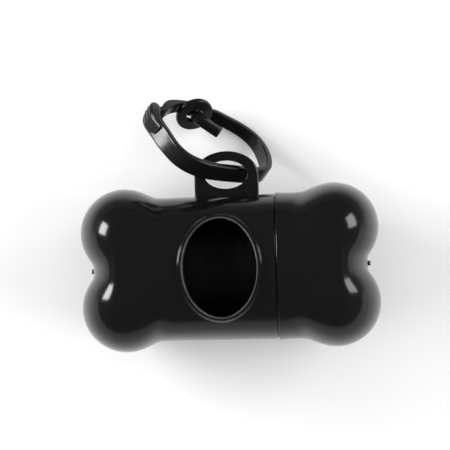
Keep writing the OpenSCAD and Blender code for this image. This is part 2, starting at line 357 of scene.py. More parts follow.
class Wire:
    """One output of a node, with the sums that are done on it."""

    def __init__(self, board: "Board", socket: bpy.types.NodeSocket | None) -> None:
        """Keeps the board that the node is on and the socket."""
        self.board = board
        self.socket = socket

    def _math(self, operation: str, first: object, second: object) -> "Wire":
        """Adds a Math node for first and second and gives its output."""
        return self.board.node("Math", {0: first, 1: second}, operation=operation)

    def __add__(self, other: object) -> "Wire":
        """Sum."""
        return self._math("ADD", self, other)

    def __sub__(self, other: object) -> "Wire":
        """Difference."""
        return self._math("SUBTRACT", self, other)

    def __rsub__(self, other: object) -> "Wire":
        """Difference from a number."""
        return self._math("SUBTRACT", other, self)

    def __mul__(self, other: object) -> "Wire":
        """Product."""
        return self._math("MULTIPLY", self, other)

    def __abs__(self) -> "Wire":
        """Size without its sign."""
        return self._math("ABSOLUTE", self, 0.0)

    def __gt__(self, other: object) -> "Wire":
        """1 where it is the greater, and 0 elsewhere."""
        return self._math("GREATER_THAN", self, other)

    __radd__ = __add__
    __rmul__ = __mul__


class Board:
    """The nodes of one material or world."""

    def __init__(self, owner: bpy.types.Material | bpy.types.World) -> None:
        """Clears the nodes.

        Args:
            owner: The material or world.
        """
        owner.use_nodes = True
        self.owner = owner
        self.tree = owner.node_tree
        self.tree.nodes.clear()

    def node(self, kind: str, inputs: dict[object, object], output: object = 0,
             **settings: object) -> Wire:
        """Adds any node.

        Args:
            kind: Blender's name of the node's type, after ShaderNode.
            inputs: Value or wire of each socket, by its name or number.
            output: Name or number of the output that is given back.
            settings: The node's own settings, which are set first.

        Returns:
            The output as a wire, whose socket is None if the node has no outputs.
        """
        made = self.tree.nodes.new("ShaderNode" + kind)
        for key, value in settings.items():
            setattr(made, key, value)
        for key, value in inputs.items():
            if isinstance(value, Wire):
                self.tree.links.new(value.socket, made.inputs[key])
            else:
                made.inputs[key].default_value = value
        return Wire(self, made.outputs[output] if len(made.outputs) else None)

    def place(self) -> Wire:
        """The point on the object, in metres."""
        return self.node("TexCoord", {}, "Object")

    def part(self, where: Wire, axis: str) -> Wire:
        """One coordinate, X, Y or Z, of a point."""
        return self.node("SeparateXYZ", {"Vector": where}, axis)

    def mapped(self, where: Wire, scale: tuple[float, float, float],
               shift: tuple[float, float, float] = (0.0, 0.0, 0.0)) -> Wire:
        """The point scaled, and then shifted."""
        return self.node("Mapping", {"Vector": where, "Scale": scale, "Location": shift})

    def length(self, vector: Wire) -> Wire:
        """Length of a vector."""
        return self.node("VectorMath", {0: vector}, "Value", operation="LENGTH")

    def noise(self, where: Wire, scale: float, detail: float = 3.0) -> Wire:
        """Cloudy noise from 0 to 1, with scale clouds to the metre."""
        return self.node("TexNoise", {"Vector": where, "Scale": scale, "Detail": detail})

    def ramp(self, value: Wire, start: float, stop: float, first: float = 0.0, last: float = 1.0,
             shape: str = "SMOOTHSTEP") -> Wire:
        """Goes from first to last while value goes from start to stop.

        Args:
            value: The value.
            start: Where it starts to count.
            stop: Where it has its full effect.
            first: Outcome up to start.
            last: Outcome from stop on.
            shape: How it gets from one to the other.

        Returns:
            The outcome.
        """
        return self.node("MapRange", {"Value": value, "From Min": start, "From Max": stop,
                                      "To Min": first, "To Max": last}, interpolation_type=shape)

    def between(self, share: object, low: object, high: object) -> Wire:
        """Colour mixed from low to high by share."""
        return self.node("Mix", {0: share, 6: low, 7: high}, 2, data_type="RGBA")

    def bump(self, height: Wire, depth: float) -> Wire:
        """Normal of a surface with that height, from 0 to 1, times depth in metres."""
        return self.node("Bump", {"Height": height, "Distance": depth, "Strength": 1.0}, "Normal")

    def surface(self, inputs: dict[object, object]) -> Wire:
        """The plain surface shader with those inputs."""
        return self.node("BsdfPrincipled", inputs)

    def finish(self, shader: Wire, kind: str = "OutputMaterial") -> bpy.types.Material | bpy.types.World:
        """Sends the shader to the output, of that kind, and gives the material or world."""
        self.node(kind, {"Surface": shader})
        return self.owner


def grey(level: float) -> tuple[float, float, float, float]:
    """A neutral colour of that linear level."""
    return (level, level, level, 1.0)


@dataclass(frozen=True)
class PaintedEdgeHighlight:
    """A thin oval line with a painted highlight, a paler colour, and a duller gloss, in metres, looked
    at along Z.
    """

    middle: tuple[float, float]
    half_axes: tuple[float, float]
    above: float
    half_width: float = 0.00022
    # Paler colour of the line: a painted highlight.
    level: float = 0.08
    roughness: float = 0.38

    def mask(self, board: Board, where: Wire) -> Wire:
        """Gives 1 on the line and 0 away from it and below it.

        The point less the middle is divided by the half axes. How far the length of that is from 1,
        times the mean half axis, is the distance from the line. Noise makes the line patchy.

        Args:
            board: The material's nodes.
            where: The point on the object.

        Returns:
            The mask.
        """
        wide, high = self.half_axes
        shift = (-self.middle[0] / wide, -self.middle[1] / high, 0.0)
        off = abs(board.length(board.mapped(where, (1 / wide, 1 / high, 0.0), shift)) - 1.0)
        line = board.ramp(off, 0.0, 2 * self.half_width / ((wide + high) / 2), 1.0, 0.0)
        patchy = board.ramp(board.noise(where, 130.0, 2.0), 0.38, 0.62, 0.45, 1.0, "LINEAR")
        return line * patchy * (board.part(where, "Z") > self.above)


@dataclass(frozen=True)
class MouldedPlastic:
    """Black plastic as it comes from a steel mould, with faint flow clouds, handling marks and, if
    given, a painted highlight along a line.
    """

    name: str
    level: float
    roughness: float
    ripple: float
    edge_highlight: PaintedEdgeHighlight | None = None
    flow_clouds: float = 45.0
    wear_clouds: float = 600.0
    grain_clouds: float = 2600.0

    def material(self) -> bpy.types.Material:
        """Builds the material.

        Returns:
            The material, whose gloss and colour vary a little over the piece.
        """
        board = Board(bpy.data.materials.new(self.name))
        where = board.place()
        flow = board.noise(where, self.flow_clouds)
        wear = board.noise(where, self.wear_clouds, 4.0)
        grain = board.noise(where, self.grain_clouds, 2.0)
        cool = (self.level, self.level, self.level * 1.12, 1.0)
        colour = board.between(flow, grey(self.level * 0.85), cool)
        rough = self.roughness * ((flow - 0.5) * 0.3 + (wear - 0.5) * 0.4 + 1.0)
        # Painted highlight: on the line the colour turns a paler grey, and the gloss rougher.
        if self.edge_highlight:
            mask = self.edge_highlight.mask(board, where)
            colour = board.between(mask, colour, grey(self.edge_highlight.level))
            rough = rough + mask * (self.edge_highlight.roughness - self.roughness)
        return board.finish(board.surface({
            "Base Color": colour, "Roughness": rough, "IOR": 1.5,
            "Normal": board.bump(flow * 0.9 + grain * 0.1, self.ripple)}))


@dataclass(frozen=True)
class BagFilm:
    """Thin polythene film, wound: dark, half matt and finely creased along the winding."""

    name: str = "bag_film"
    dark: float = 0.003
    pale: float = 0.0045
    fold: float = 0.0001
    fold_clouds: float = 220.0
    stretch: tuple[float, float, float] = (6.0, 1.0, 1.0)

    def material(self) -> bpy.types.Material:
        """Builds the material.

        Returns:
            The material.
        """
        board = Board(bpy.data.materials.new(self.name))
        crease = board.noise(board.mapped(board.place(), self.stretch), self.fold_clouds, 5.0)
        return board.finish(board.surface({
            "Base Color": board.between(crease, grey(self.dark), grey(self.pale)),
            "Roughness": 0.42 + crease * 0.2, "Specular IOR Level": 0.1,
            "Normal": board.bump(crease, self.fold)}))


@dataclass(frozen=True)
class Card:
    """Grey-brown card of a wound tube, with fibres and darker specks."""

    name: str = "card"
    dark: tuple[float, float, float, float] = (0.10, 0.075, 0.055, 1.0)
    pale: tuple[float, float, float, float] = (0.24, 0.19, 0.14, 1.0)
    nap: float = 0.0001
    fibre_clouds: float = 1800.0
    speck_clouds: float = 5000.0

    def material(self) -> bpy.types.Material:
        """Builds the material.

        Returns:
            The material.
        """
        board = Board(bpy.data.materials.new(self.name))
        where = board.place()
        fibre = board.noise(where, self.fibre_clouds, 5.0)
        speck = board.noise(where, self.speck_clouds, 2.0)
        return board.finish(board.surface({
            "Base Color": board.between(fibre * 0.7 + speck * 0.3, self.dark, self.pale),
            "Roughness": 0.85, "Normal": board.bump(fibre, self.nap)}))


# The two-part case


@dataclass(frozen=True)
class Thread:
    """The two-start screw thread's ridges on one half of the case.

    ridge is their height, inwards if negative, start the share of their spacing by which they are
    moved along, and span where they begin and end.
    """

    ridge: float
    start: float
    span: tuple[float, float]
    lead: float = 12.0
    flank: tuple[float, float] = (0.45, 1.05)
    fade: float = 0.9

    def height(self, x: np.ndarray, turn: np.ndarray) -> np.ndarray:
        """Height of the ridges.

        A ridge lies where x less the lead times the share of a right-handed turn about +X is a
        multiple of half the lead. Its flanks slope, from 0.45 to 1.05 mm away from its middle, and
        it fades out at both ends.

        Args:
            x: Place along the axis.
            turn: Angle from +Z towards +Y.

        Returns:
            The height at each point.
        """
        pitch = self.lead / 2
        phase = (x - self.lead * (0.25 - turn / FULL_TURN)) / pitch + self.start
        away = np.abs(phase - np.round(phase)) * pitch
        low, high = self.span
        ends = smooth_step(low, low + self.fade, x) * (1 - smooth_step(high - self.fade, high, x))
        return self.ridge * (1 - smooth_step(*self.flank, away)) * ends


def turned(profile: np.ndarray, thread: Thread | None = None, count: int = AROUND) -> np.ndarray:
    """Turns a profile round the axis.

    Args:
        profile: Rows of (x, radius).
        thread: Ridges to add to the radius, if any.
        count: Points round the axis.

    Returns:
        A grid of points, one row for each row of the profile.
    """
    turn = full_circle(count)
    x, radius = profile[:, :1], profile[:, 1:]
    if thread:
        radius = radius + thread.height(x, turn)
    return around(x, radius, turn)


class End(Enum):
    """The two ends of the bone, by the way they face along X."""

    SHELL = -1
    CAP = 1


@dataclass(frozen=True)
class BoneForm:
    """Sizes of the case in millimetres, round the bone's axis, as in the construction."""

    back_y: float = -13.35
    axis_z: float = 21.05
    lobe_x: float = 30.0
    lobe_y: float = 10.8
    lobe_r: float = 12.5
    lobe_depth_r: float = 20.55
    notch_reach: float = 9.2
    blend: float = 24.0
    blend_drop: float = 12.0
    lobe_pull: float = 1.6
    lobe_ease: float = 9.0
    core_power: float = 1.7
    bore_r: float = 17.9
    floor_depth: float = 6.5

    def place(self, points: np.ndarray) -> np.ndarray:
        """Moves points from the bone's axis into the construction's frame."""
        return points + np.array([0.0, self.back_y, self.axis_z])

    def lobe_reach(self, x: np.ndarray, way: np.ndarray, side: int) -> np.ndarray:
        """Distance from the axis to the far side of one lobe, an ellipsoid.

        With start and way scaled by the ellipsoid's radii, the far crossing is the larger root of a
        quadratic in the distance, and 0 where the ray misses the lobe.

        Args:
            x: Place on the axis that each ray leaves.
            way: Direction of each ray.
            side: 1 for the lobe on the +Y side, -1 for the other.

        Returns:
            The distance along each ray.
        """
        radii = np.array([self.lobe_r, self.lobe_r, self.lobe_depth_r])
        depth = way[..., 2] ** 2
        run = x - self.lobe_x
        run = np.where(run < 0, run * self.lobe_r / (self.lobe_r + self.lobe_ease * depth), run)
        across = -side * (self.lobe_y - self.lobe_pull * depth)
        start = np.stack(np.broadcast_arrays(run, across, 0.0), axis=-1) / radii
        scaled = way / radii
        along = np.sum(start * scaled, axis=-1)
        length = np.sum(scaled * scaled, axis=-1)
        inside = along**2 - length * (np.sum(start * start, axis=-1) - 1.0)
        far = np.maximum(0.0, (np.sqrt(np.maximum(inside, 0.0)) - along) / length)
        return np.where(inside > 0, far, 0.0)

    def end_points(self, end: End, steep: np.ndarray, tube: np.ndarray, root_r: float) -> np.ndarray:
        """Outer surface of one lobed end, from its notch to the barrel.

        Rays leave the axis between the lobes, lean towards the end and turn all the way round. The
        last rings don't lean and leave the axis further and further in. Each ray stops at the smooth
        outer join of the core and both lobes: the sum of the three distances, each to the power of
        the blend, to the power of one over the blend.

        Args:
            end: Which end of the bone.
            steep: Lean of the first rings, in degrees.
            tube: Place on the axis of the last rings, as for the cap's end.
            root_r: Radius of the barrel beside the lobes.

        Returns:
            A grid of points, one row for each ring.
        """
        lean = np.radians(np.concatenate([steep, np.linspace(38.0, 1.5, 30)]))
        x = np.concatenate([np.full(len(lean), self.lobe_x), tube])[:, None]
        lean = np.concatenate([lean, np.zeros(len(tube))])[:, None]
        way = around(np.sin(lean), np.cos(lean), full_circle(AROUND))
        power = self.core_power
        core = (np.sin(lean) / self.notch_reach) ** power + (np.cos(lean) / root_r) ** power
        reaches = [core ** (-1 / power)] + [self.lobe_reach(x, way, side) for side in (1, -1)]
        blend = self.blend - self.blend_drop * way[..., 2] ** 2
        points = way * (sum(reach**blend for reach in reaches) ** (1.0 / blend))[..., None]
        points[..., 0] = end.value * (points[..., 0] + x)
        return points

    def dome(self, end: End) -> np.ndarray:
        """Profile of the bore's domed floor, a quarter of an ellipse, from the bore to the axis."""
        across, along = circle(quarter_turn(14)).T
        x = end.value * (self.lobe_x + self.floor_depth * along)
        return np.column_stack([x, self.bore_r * across])


@dataclass(frozen=True)
class MainShell:
    """The left two thirds of the bone: barrel, lobes, raised rim, screw neck and bore."""

    form: BoneForm
    root_r: float = 20.43
    root_x: float = -16.0
    settle_x: float = -17.5
    mouth_r: float = 20.7
    mouth_x: float = 13.05
    mouth_round: float = 0.15
    collar_r: float = 20.4
    collar_width: float = 0.2
    neck_r: float = 19.0
    neck_cove: float = 0.25
    neck_end_x: float = 22.2
    neck_round: float = 0.5
    thread: Thread = Thread(0.5, 0.0, (14.2, 21.5))
    opening_x: float = -2.2
    opening_a: float = 10.1
    opening_b: float = 13.6
    rim_width: float = 1.4
    rim_cove: float = 0.3
    rim_lean: float = 0.06
    rim_outer_at: tuple[float, float] = (0.5, 0.6)
    rim_outer_round: tuple[float, float] = (0.42, 0.38)
    rim_inner_round: float = 0.4
    rim_wall_top: float = 0.62
    rim_r: float = 21.45
    window: tuple[float, float] = (-15.5, 11.0)
    window_steps: int = 54
    window_half: int = AROUND // 6

    def barrel_r(self, x: np.ndarray) -> np.ndarray:
        """Radius of the barrel, which widens evenly from the lobes to the seam."""
        share = np.clip((x - self.root_x) / (self.mouth_x - self.root_x), 0.0, 1.0)
        return self.root_r + (self.mouth_r - self.root_r) * share

    def window_frame(self) -> tuple[np.ndarray, np.ndarray]:
        """The four sides of the window in the barrel that the rim's patches fill.

        Returns:
            The place along the axis and the turn round it of each point of the sides.
        """
        low, high = self.window
        step = FULL_TURN / AROUND
        turns = np.arange(-self.window_half, self.window_half) * step
        places = low + (high - low) * np.arange(self.window_steps) / self.window_steps
        edge = np.full(len(places), self.window_half * step)
        x = [np.full(len(turns), high), (low + high) - places, np.full(len(turns), low), places]
        return np.concatenate(x), np.concatenate([turns, edge, -turns, -edge])

    def oval(self, grow: np.ndarray | float, place: np.ndarray) -> tuple[np.ndarray, np.ndarray]:
        """The opening's oval grown by grow, as x and y at the angles place."""
        x = self.opening_x + (self.opening_a + grow) * np.cos(place)
        return x, (self.opening_b + grow) * np.sin(place)

    def painted_edge_highlight(self) -> PaintedEdgeHighlight:
        """The line along the opening's inner edge that has a painted highlight and a duller gloss."""
        grow = 0.2
        return PaintedEdgeHighlight((self.opening_x * MM, self.form.back_y * MM),
                          ((self.opening_a + grow) * MM, (self.opening_b + grow) * MM),
                          self.form.axis_z * MM)

    def oval_places(self) -> np.ndarray:
        """Angle on the oval that each point of the window's frame looks towards."""
        x, turn = self.window_frame()
        return np.arctan2(turn * self.root_r / self.opening_b, (x - self.opening_x) / self.opening_a)

    def apron(self, grow: float, radius: float | None) -> Patch:
        """The surface between the oval and the window's frame, on the barrel or in the bore.

        Points run straight from oval to frame in (x, turn), and the radius puts them on the surface.

        Args:
            grow: How far outside the opening the apron starts.
            radius: Radius of the surface, or None for the barrel's own.

        Returns:
            The patch.
        """
        x_oval, y_oval = self.oval(grow, self.oval_places())
        near_r = self.barrel_r(x_oval) if radius is None else radius
        x_frame, turn_frame = self.window_frame()
        share = np.linspace(0.0, 1.0, 15)[:, None] ** 1.3
        x = x_oval * (1 - share) + x_frame * share
        turn = np.arcsin(y_oval / near_r) * (1 - share) + turn_frame * share
        return Patch(around(x, self.barrel_r(x) if radius is None else radius, turn))

    def rim(self) -> Patch:
        """The raised rim and the opening's wall.

        The rim's section is given as rows of (growth of the oval, rise): a small cove at the foot,
        a leaning outer flank, two rounded corners with a crowned top between them, and the wall down
        to the bore. A rise of 1 is the rim's top and 0 the barrel.

        Returns:
            The patch.
        """
        wide, top, inner = self.rim_width, self.rim_wall_top, self.rim_inner_round
        back, up = self.rim_outer_at
        coarse, fine = circle(quarter_turn()), circle(quarter_turn(7))
        rows = np.concatenate([
            np.array([wide, 0.0]) + self.rim_cove * (1 - coarse[:, ::-1]),
            [[wide - self.rim_lean, 0.5]],
            np.array([wide - back, up]) + np.array(self.rim_outer_round) * fine,
            [[wide / 2, 1.0]],
            np.array([inner, top]) + np.array([-inner, 1 - top]) * fine[:, ::-1],
        ])
        x, y = self.oval(rows[:, :1], self.oval_places())
        barrel = self.barrel_r(x)
        radius = barrel + (self.rim_r - barrel) * rows[:, 1:]
        share = np.linspace(0.0, 1.0, 9)[1:, None]
        wall = radius[-1] + (self.form.bore_r - radius[-1]) * share
        down = ((0, len(wall)), (0, 0))
        x, y = np.pad(x, down, mode="edge"), np.pad(y, down, mode="edge")
        radius = np.concatenate([radius, wall])
        return Patch(np.stack([x, y, np.sqrt(radius**2 - y**2)], axis=-1))

    def build(self) -> bpy.types.Object:
        """Builds the shell as one closed surface.

        Returns:
            The object.
        """
        form = self.form
        low, high = self.window
        end = form.end_points(End.SHELL, np.linspace(90.0, 40.0, 36), np.linspace(form.lobe_x, -low, 30),
                              self.root_r)
        settle = smooth_step(self.settle_x, low, end[..., 0])[..., None]
        outer_left = Patch(end * (1 - settle) + self._on_barrel(end) * settle)
        x = low + (high - low) * np.arange(self.window_steps + 1)[:, None] / self.window_steps
        turn = np.arange(self.window_half, AROUND - self.window_half + 1) * FULL_TURN / AROUND
        outer_middle = Patch(around(x, self.barrel_r(x), turn), wrap_columns=False)
        inner_middle = Patch(around(x, form.bore_r, turn), wrap_columns=False)
        neck = Patch(np.concatenate([turned(self._neck_outside(), self.thread),
                                     turned(self._neck_inside())]))
        bottom = straight((low, form.bore_r), (-form.lobe_x, form.bore_r), 8)
        bottom = Patch(turned(np.concatenate([bottom, form.dome(End.SHELL)])))
        return mesh_object("main_shell_moulding", form.place, outer_left, outer_middle,
                           self.apron(self.rim_width + self.rim_cove, None), self.rim(),
                           self.apron(0.0, form.bore_r), inner_middle, neck, bottom)

    def _neck_outside(self) -> np.ndarray:
        """Profile from the window over the mouth and the collar in the seam to the neck's end.

        Returns:
            Rows of (x, radius).
        """
        edge, foot = self.mouth_x - self.mouth_round, self.mouth_x + self.collar_width
        last, cove = self.neck_end_x - self.neck_round, self.neck_r + self.neck_cove
        high = self.window[1]
        return np.concatenate([
            straight((high, float(self.barrel_r(np.array(high)))), (edge, self.mouth_r), 6),
            corner((edge, self.mouth_r - self.mouth_round), self.mouth_round, 90, 0),
            straight((self.mouth_x, self.mouth_r - 0.2), (self.mouth_x, self.collar_r), 3),
            straight((self.mouth_x, self.collar_r), (foot, self.collar_r), 3),
            straight((foot, self.collar_r), (foot, cove), 5),
            corner((foot + self.neck_cove, cove), self.neck_cove, 180, 270),
            straight((foot + 0.4, self.neck_r), (last, self.neck_r), 70),
            corner((last, self.neck_r - self.neck_round), self.neck_round, 90, 0),
        ])

    def _neck_inside(self) -> np.ndarray:
        """Profile from the neck's end along the bore to the window.

        Returns:
            Rows of (x, radius).
        """
        bore_r, high, ease = self.form.bore_r, self.window[1], 0.2
        return np.concatenate([
            corner((self.neck_end_x - ease, bore_r + ease), ease, 0, -90),
            straight((self.neck_end_x - 0.5, bore_r), (high, bore_r), 10), [[high, bore_r]],
        ])

    def _on_barrel(self, points: np.ndarray) -> np.ndarray:
        """Moves points straight out or in to the barrel's radius."""
        radius = np.hypot(points[..., 1], points[..., 2])
        factor = self.barrel_r(points[..., 0]) / np.maximum(radius, 1e-6)
        return points * np.stack([np.ones_like(factor), factor, factor], axis=-1)


@dataclass(frozen=True)
class EndCap:
    """The right third of the bone, screwed over the neck."""

    form: BoneForm
    root_r: float = 20.83
    root_x: float = 16.2
    barrel_x: float = 15.9
    barrel_r: float = 20.842
    mouth_r: float = 21.0
    mouth_x: float = 13.35
    mouth_round: float = 0.3
    bore_mouth_r: float = 19.8
    bore_round: float = 0.2
    shoulder_x: float = 23.0
    thread: Thread = Thread(-0.55, 0.5, (14.4, 22.2))
    seat_r: float = 1.1
    seat_depth: float = 0.4

    def build(self) -> bpy.types.Object:
        """Builds the cap as one closed surface, from the pole in its notch to the bore's floor.

        Returns:
            The object.
        """
        form, edge, ease, bore = self.form, self.mouth_round, self.bore_round, self.bore_mouth_r
        pole = form.lobe_x + form.notch_reach
        floor_x = pole - self.seat_depth
        seat = np.array([
            [floor_x, 0.0], [floor_x, self.seat_r * 0.8], [floor_x, self.seat_r - 0.05],
            [floor_x + 0.08, self.seat_r], [pole - 0.12, self.seat_r + 0.02]])
        first_lean = math.degrees(math.acos((self.seat_r + 0.15) / form.notch_reach))
        end = form.end_points(End.CAP, np.linspace(first_lean, 40.0, 34),
                              np.linspace(form.lobe_x, self.root_x, 28), self.root_r)
        outside = np.concatenate([
            straight((self.barrel_x, self.barrel_r), (self.mouth_x + edge, self.mouth_r), 5),
            corner((self.mouth_x + edge, self.mouth_r - edge), edge, 90, 180),
            straight((self.mouth_x, self.mouth_r - 0.45), (self.mouth_x, bore + ease), 4),
            corner((self.mouth_x + ease, bore + ease), ease, 180, 270),
        ])
        last, inner_x = self.shoulder_x - 0.4, self.shoulder_x + 1.4
        socket = straight((self.mouth_x + 0.4, bore), (last, bore), 70)
        inside = np.concatenate([
            straight((last, bore), (inner_x, form.bore_r), 6),
            straight((inner_x, form.bore_r), (form.lobe_x, form.bore_r), 6), form.dome(End.CAP),
        ])
        rows = [turned(seat), end, turned(outside), turned(socket, self.thread), turned(inside)]
        return mesh_object("end_cap_moulding", form.place, Patch(np.concatenate(rows)))


@dataclass(frozen=True)
class HangingTab:
    """The flat tab with its oval hole, sunk into the barrel's wall at its root."""

    form: BoneForm
    x: float = -0.4
    hole_x: float = -0.5
    hole_y: float = 26.6
    hole_a: float = 6.1
    hole_b: float = 4.05
    half_width: float = 9.2
    arch_bar: float = 2.7
    thickness: float = 2.5
    root_y: float = 18.6
    rounds: tuple[float, float] = (0.7, 0.3)

    def build(self) -> bpy.types.Object:
        """Builds the tab.

        The outer outline is the arch, half an ellipse, above the hole's middle, and straight sides
        and the root below it, both seen from the hole's middle.

        Returns:
            The object.
        """
        ring = circle(full_circle(240))
        inner = np.array([self.hole_x, self.hole_y]) + np.array([self.hole_a, self.hole_b]) * ring
        arch = np.array([self.half_width, self.hole_b + self.arch_bar]) * ring
        box = np.array([self.half_width, self.hole_y - self.root_y])
        lower = ring * np.min(box / np.maximum(np.abs(ring), 1e-9), axis=1)[:, None]
        outer = np.where(ring[:, 1:] >= 0, arch, lower) + np.array([self.x, self.hole_y])
        patch = plate_patch(outer, inner, self.thickness, self.rounds)
        return mesh_object("hanging_tab", self.form.place, patch)


@dataclass(frozen=True)
class GateStub:
    """Trimmed stub of the moulding gate in a notch, with a slightly torn top."""

    form: BoneForm
    radius: float = 0.75
    height: float = 0.8
    top_radius: float = 0.65
    top_rows: tuple[tuple[float, float], ...] = ((0.15, 0.0), (0.04, 0.06), (0.0, 0.2), (0.05, 0.65))
    torn_depth: float = 0.2
    torn_waves: tuple[float, float] = (0.06, 0.03)
    torn_mean: float = 0.09

    def build(self, end: End, foot_x: float) -> bpy.types.Object:
        """Builds one stub.

        top_rows are distances down from the top and in from its radius. Two waves round the top, of
        two and five crests, lower its outline unevenly, but not the pole.

        Args:
            end: Which end of the bone it is in.
            foot_x: Distance of its foot from the bone's middle.

        Returns:
            The object.
        """
        top = self.form.lobe_x + self.form.notch_reach + self.height
        upper = np.array([top, self.top_radius]) - np.array(self.top_rows)
        profile = np.concatenate([[[foot_x, 0.0], [foot_x, self.radius]], upper])
        x, radius = profile[:, :1], profile[:, 1:]
        turn = full_circle(32)
        tear = self.torn_waves[0] * np.sin(2 * turn + 0.7) + self.torn_waves[1] * np.sin(5 * turn)
        lowered = x - smooth_step(top - self.torn_depth, top, x) * (self.torn_mean + tear * (radius > 0))
        points = around(end.value * lowered, radius, turn)
        return mesh_object(f"gate_stub_{end.name.lower()}", self.form.place, Patch(points))


# The loop clip


@dataclass(frozen=True)
class LoopClip:
    """The one-piece clip, drawn in the plane of its loop: across, up towards the floor, and width.

    band and gate are the knots of their paths, in the rows that swept_rings takes.
    """

    form: BoneForm
    middle: tuple[float, float, float] = (-5.1, 36.3, -6.8)
    tilt: float = 54.0
    dip: float = 24.0
    turn: float = 21.5
    eye_at: tuple[float, float] = (-4.4, 12.2)
    eye_slope: float = 16.0
    eye_r: float = 5.64
    eye_thick: float = 1.7
    slot_r: float = 2.1
    slot_half: float = 0.5
    hook_r: float = 1.6
    hook_square: float = 0.94
    hook_off: float = 0.6
    hook_top: float = 1.0
    hook_root: float = 4.2
    hook_bend_r: float = 1.8
    hook_bend: float = 50.0
    hook_tail: float = 5.4
    hook_edge: float = 0.5
    knuckle_side: float = -9.0
    shank_lean: float = 14.5
    shank_at: float = -5.5
    shank_reach: float = 3.4
    block_span: tuple[float, float] = (-4.3, 5.2)
    block_proud: float = 0.22
    block_inset: float = 0.3
    block_edge: float = 0.2
    groove_depth: float = 0.26
    groove_pitch: float = 1.5
    groove_span: tuple[float, float] = (0.4, 1.6)
    web_at: tuple[float, float] = (-16.5, 5.2)
    web_slope: float = 28.0
    web_out: float = 0.45
    web_half: float = 1.38
    web_bends: float = 0.55
    web_size: tuple[float, float] = (4.2, 1.6)
    web_waist: tuple[float, float] = (0.3, 0.35)
    band: tuple[tuple[float, ...], ...] = (
        (-1.6, 14.1, 3.1, 1.5, 0.0), (1.4, 14.6, 3.7, 1.9, 0.5), (4.6, 13.2, 3.9, 1.9, 1.0),
        (7.8, 12.4, 3.9, 1.9, 1.1), (11.6, 11.1, 4.0, 1.9, 1.1), (15.0, 8.9, 4.3, 1.9, 0.9),
        (17.6, 4.4, 4.8, 1.9, 0.6), (18.3, -0.6, 5.1, 1.9, 0.5), (17.0, -5.4, 5.3, 1.9, 0.3),
        (12.8, -8.1, 5.4, 1.9, 0.1), (3.3, -12.0, 5.5, 1.9, 0.0), (-5.1, -14.1, 5.5, 1.9, 0.0),
        (-10.0, -13.0, 5.5, 1.9, 0.0), (-14.9, -7.3, 5.5, 2.0, 0.0), (-17.5, -2.5, 5.5, 2.4, 0.0),
        (-19.0, 0.9, 5.5, 3.1, 0.0), (-18.8, 4.4, 5.1, 3.3, 0.0), (-18.45, 5.9, 4.7, 2.7, 0.0),
        (-18.25, 6.6, 4.5, 1.6, 0.0))
    gate: tuple[tuple[float, ...], ...] = (
        (-15.4, 5.8, 3.7, 1.5, 0.0), (-14.4, 8.6, 3.9, 2.4, 0.0), (-10.8, 12.4, 3.9, 2.1, 0.0),
        (-7.5, 13.95, 4.2, 1.5, 0.0), (-4.4, 14.6, 5.0, 1.3, 0.0), (-2.2, 15.1, 4.4, 1.1, 0.0))

    def axes(self) -> np.ndarray:
        """The loop's own across, up and width directions, one to a row."""
        whole = Matrix.Identity(3)
        for angle, axis in ((-self.turn, "Z"), (self.dip, "Y"), (-self.tilt, "X")):
            whole = whole @ Matrix.Rotation(math.radians(angle), 3, axis)
        return np.array(whole).T

    def lay(self, points: np.ndarray) -> np.ndarray:
        """Moves points from the loop's plane into the construction's frame."""
        return self.form.place(np.array(self.middle) + points @ self.axes())

    def on_eye(self, along: np.ndarray, inward: np.ndarray, width: np.ndarray) -> np.ndarray:
        """Moves points from the eye's own directions into the loop's plane.

        Args:
            along: Place along the eye's face.
            inward: Place through the eye, from the outside in.
            width: Place across the width.

        Returns:
            Points (across, up, along the width).
        """
        slope = math.radians(self.eye_slope)
        face = np.array([math.cos(slope), math.sin(slope)])
        inner = np.array([math.sin(slope), -math.cos(slope)])
        flat = np.array(self.eye_at) + along[..., None] * face + inward[..., None] * inner
        return np.concatenate([flat, width[..., None]], axis=-1)

    def build_band(self) -> bpy.types.Object:
        """Builds the long band with its knuckle.

        The section leans most, by shank_lean, beside the knuckle block, and less on both sides of
        that along a bell curve of the height.

        Returns:
            The object.
        """
        path = spline(np.array(self.band), 12)
        left = path[:, 0] < self.knuckle_side
        bell = np.exp(-(((path[:, 1] - self.shank_at) / self.shank_reach) ** 2))
        rings = swept_rings(path, 0.5, 0.45, math.radians(self.shank_lean) * bell * left)
        return mesh_object("clip_band", self.lay, Patch(rings), self.knuckle_block(path[left]))

    def knuckle_block(self, path: np.ndarray) -> Patch:
        """The block round the knuckle, stepped up from the band, with grooves along its outer side.

        Each section is a rounded square: half its size over the eighth root of the sum of the eighth
        powers of the turn's cosine and sine. The grooves are waves across the width, which fade out
        towards the block's lower end.

        Args:
            path: The band's path on the knuckle's side, in the rows that swept_rings takes.

        Returns:
            The patch.
        """
        low, high = self.block_span
        height = np.linspace(low, high, 40)
        rows = np.column_stack([np.interp(height, path[:, 1], path[:, column]) for column in range(4)])
        side = run_and_side(rows[:, :2])[1]
        ends = np.minimum(height - low, high - height) / self.block_edge
        shrink = self.block_edge * (1 - np.sqrt(1 - np.clip(1 - ends, 0.0, 1.0) ** 2))
        along, out = circle(full_circle(160)).T
        rounding = (along**8 + out**8) ** 0.125
        wide = (rows[:, 2] / 2 - self.block_inset - shrink)[:, None] * along / rounding
        thick = (rows[:, 3] / 2 + self.block_proud - shrink)[:, None] * out / rounding
        fade = smooth_step(*self.groove_span, height)[:, None] * (out > 0)
        wave = 0.5 + 0.5 * np.cos(wide * FULL_TURN / self.groove_pitch)
        thick = thick - self.groove_depth * fade * wave
        centre = rows[:, None, :2]
        block = np.concatenate([centre + side[:, None, :] * thick[..., None], wide[..., None]], axis=-1)
        middle = np.concatenate([centre, np.zeros((len(rows), 1, 1))], axis=-1)
        return Patch(np.concatenate([middle[:1] + 0 * block[:1], block, middle[-1:] + 0 * block[-1:]]))

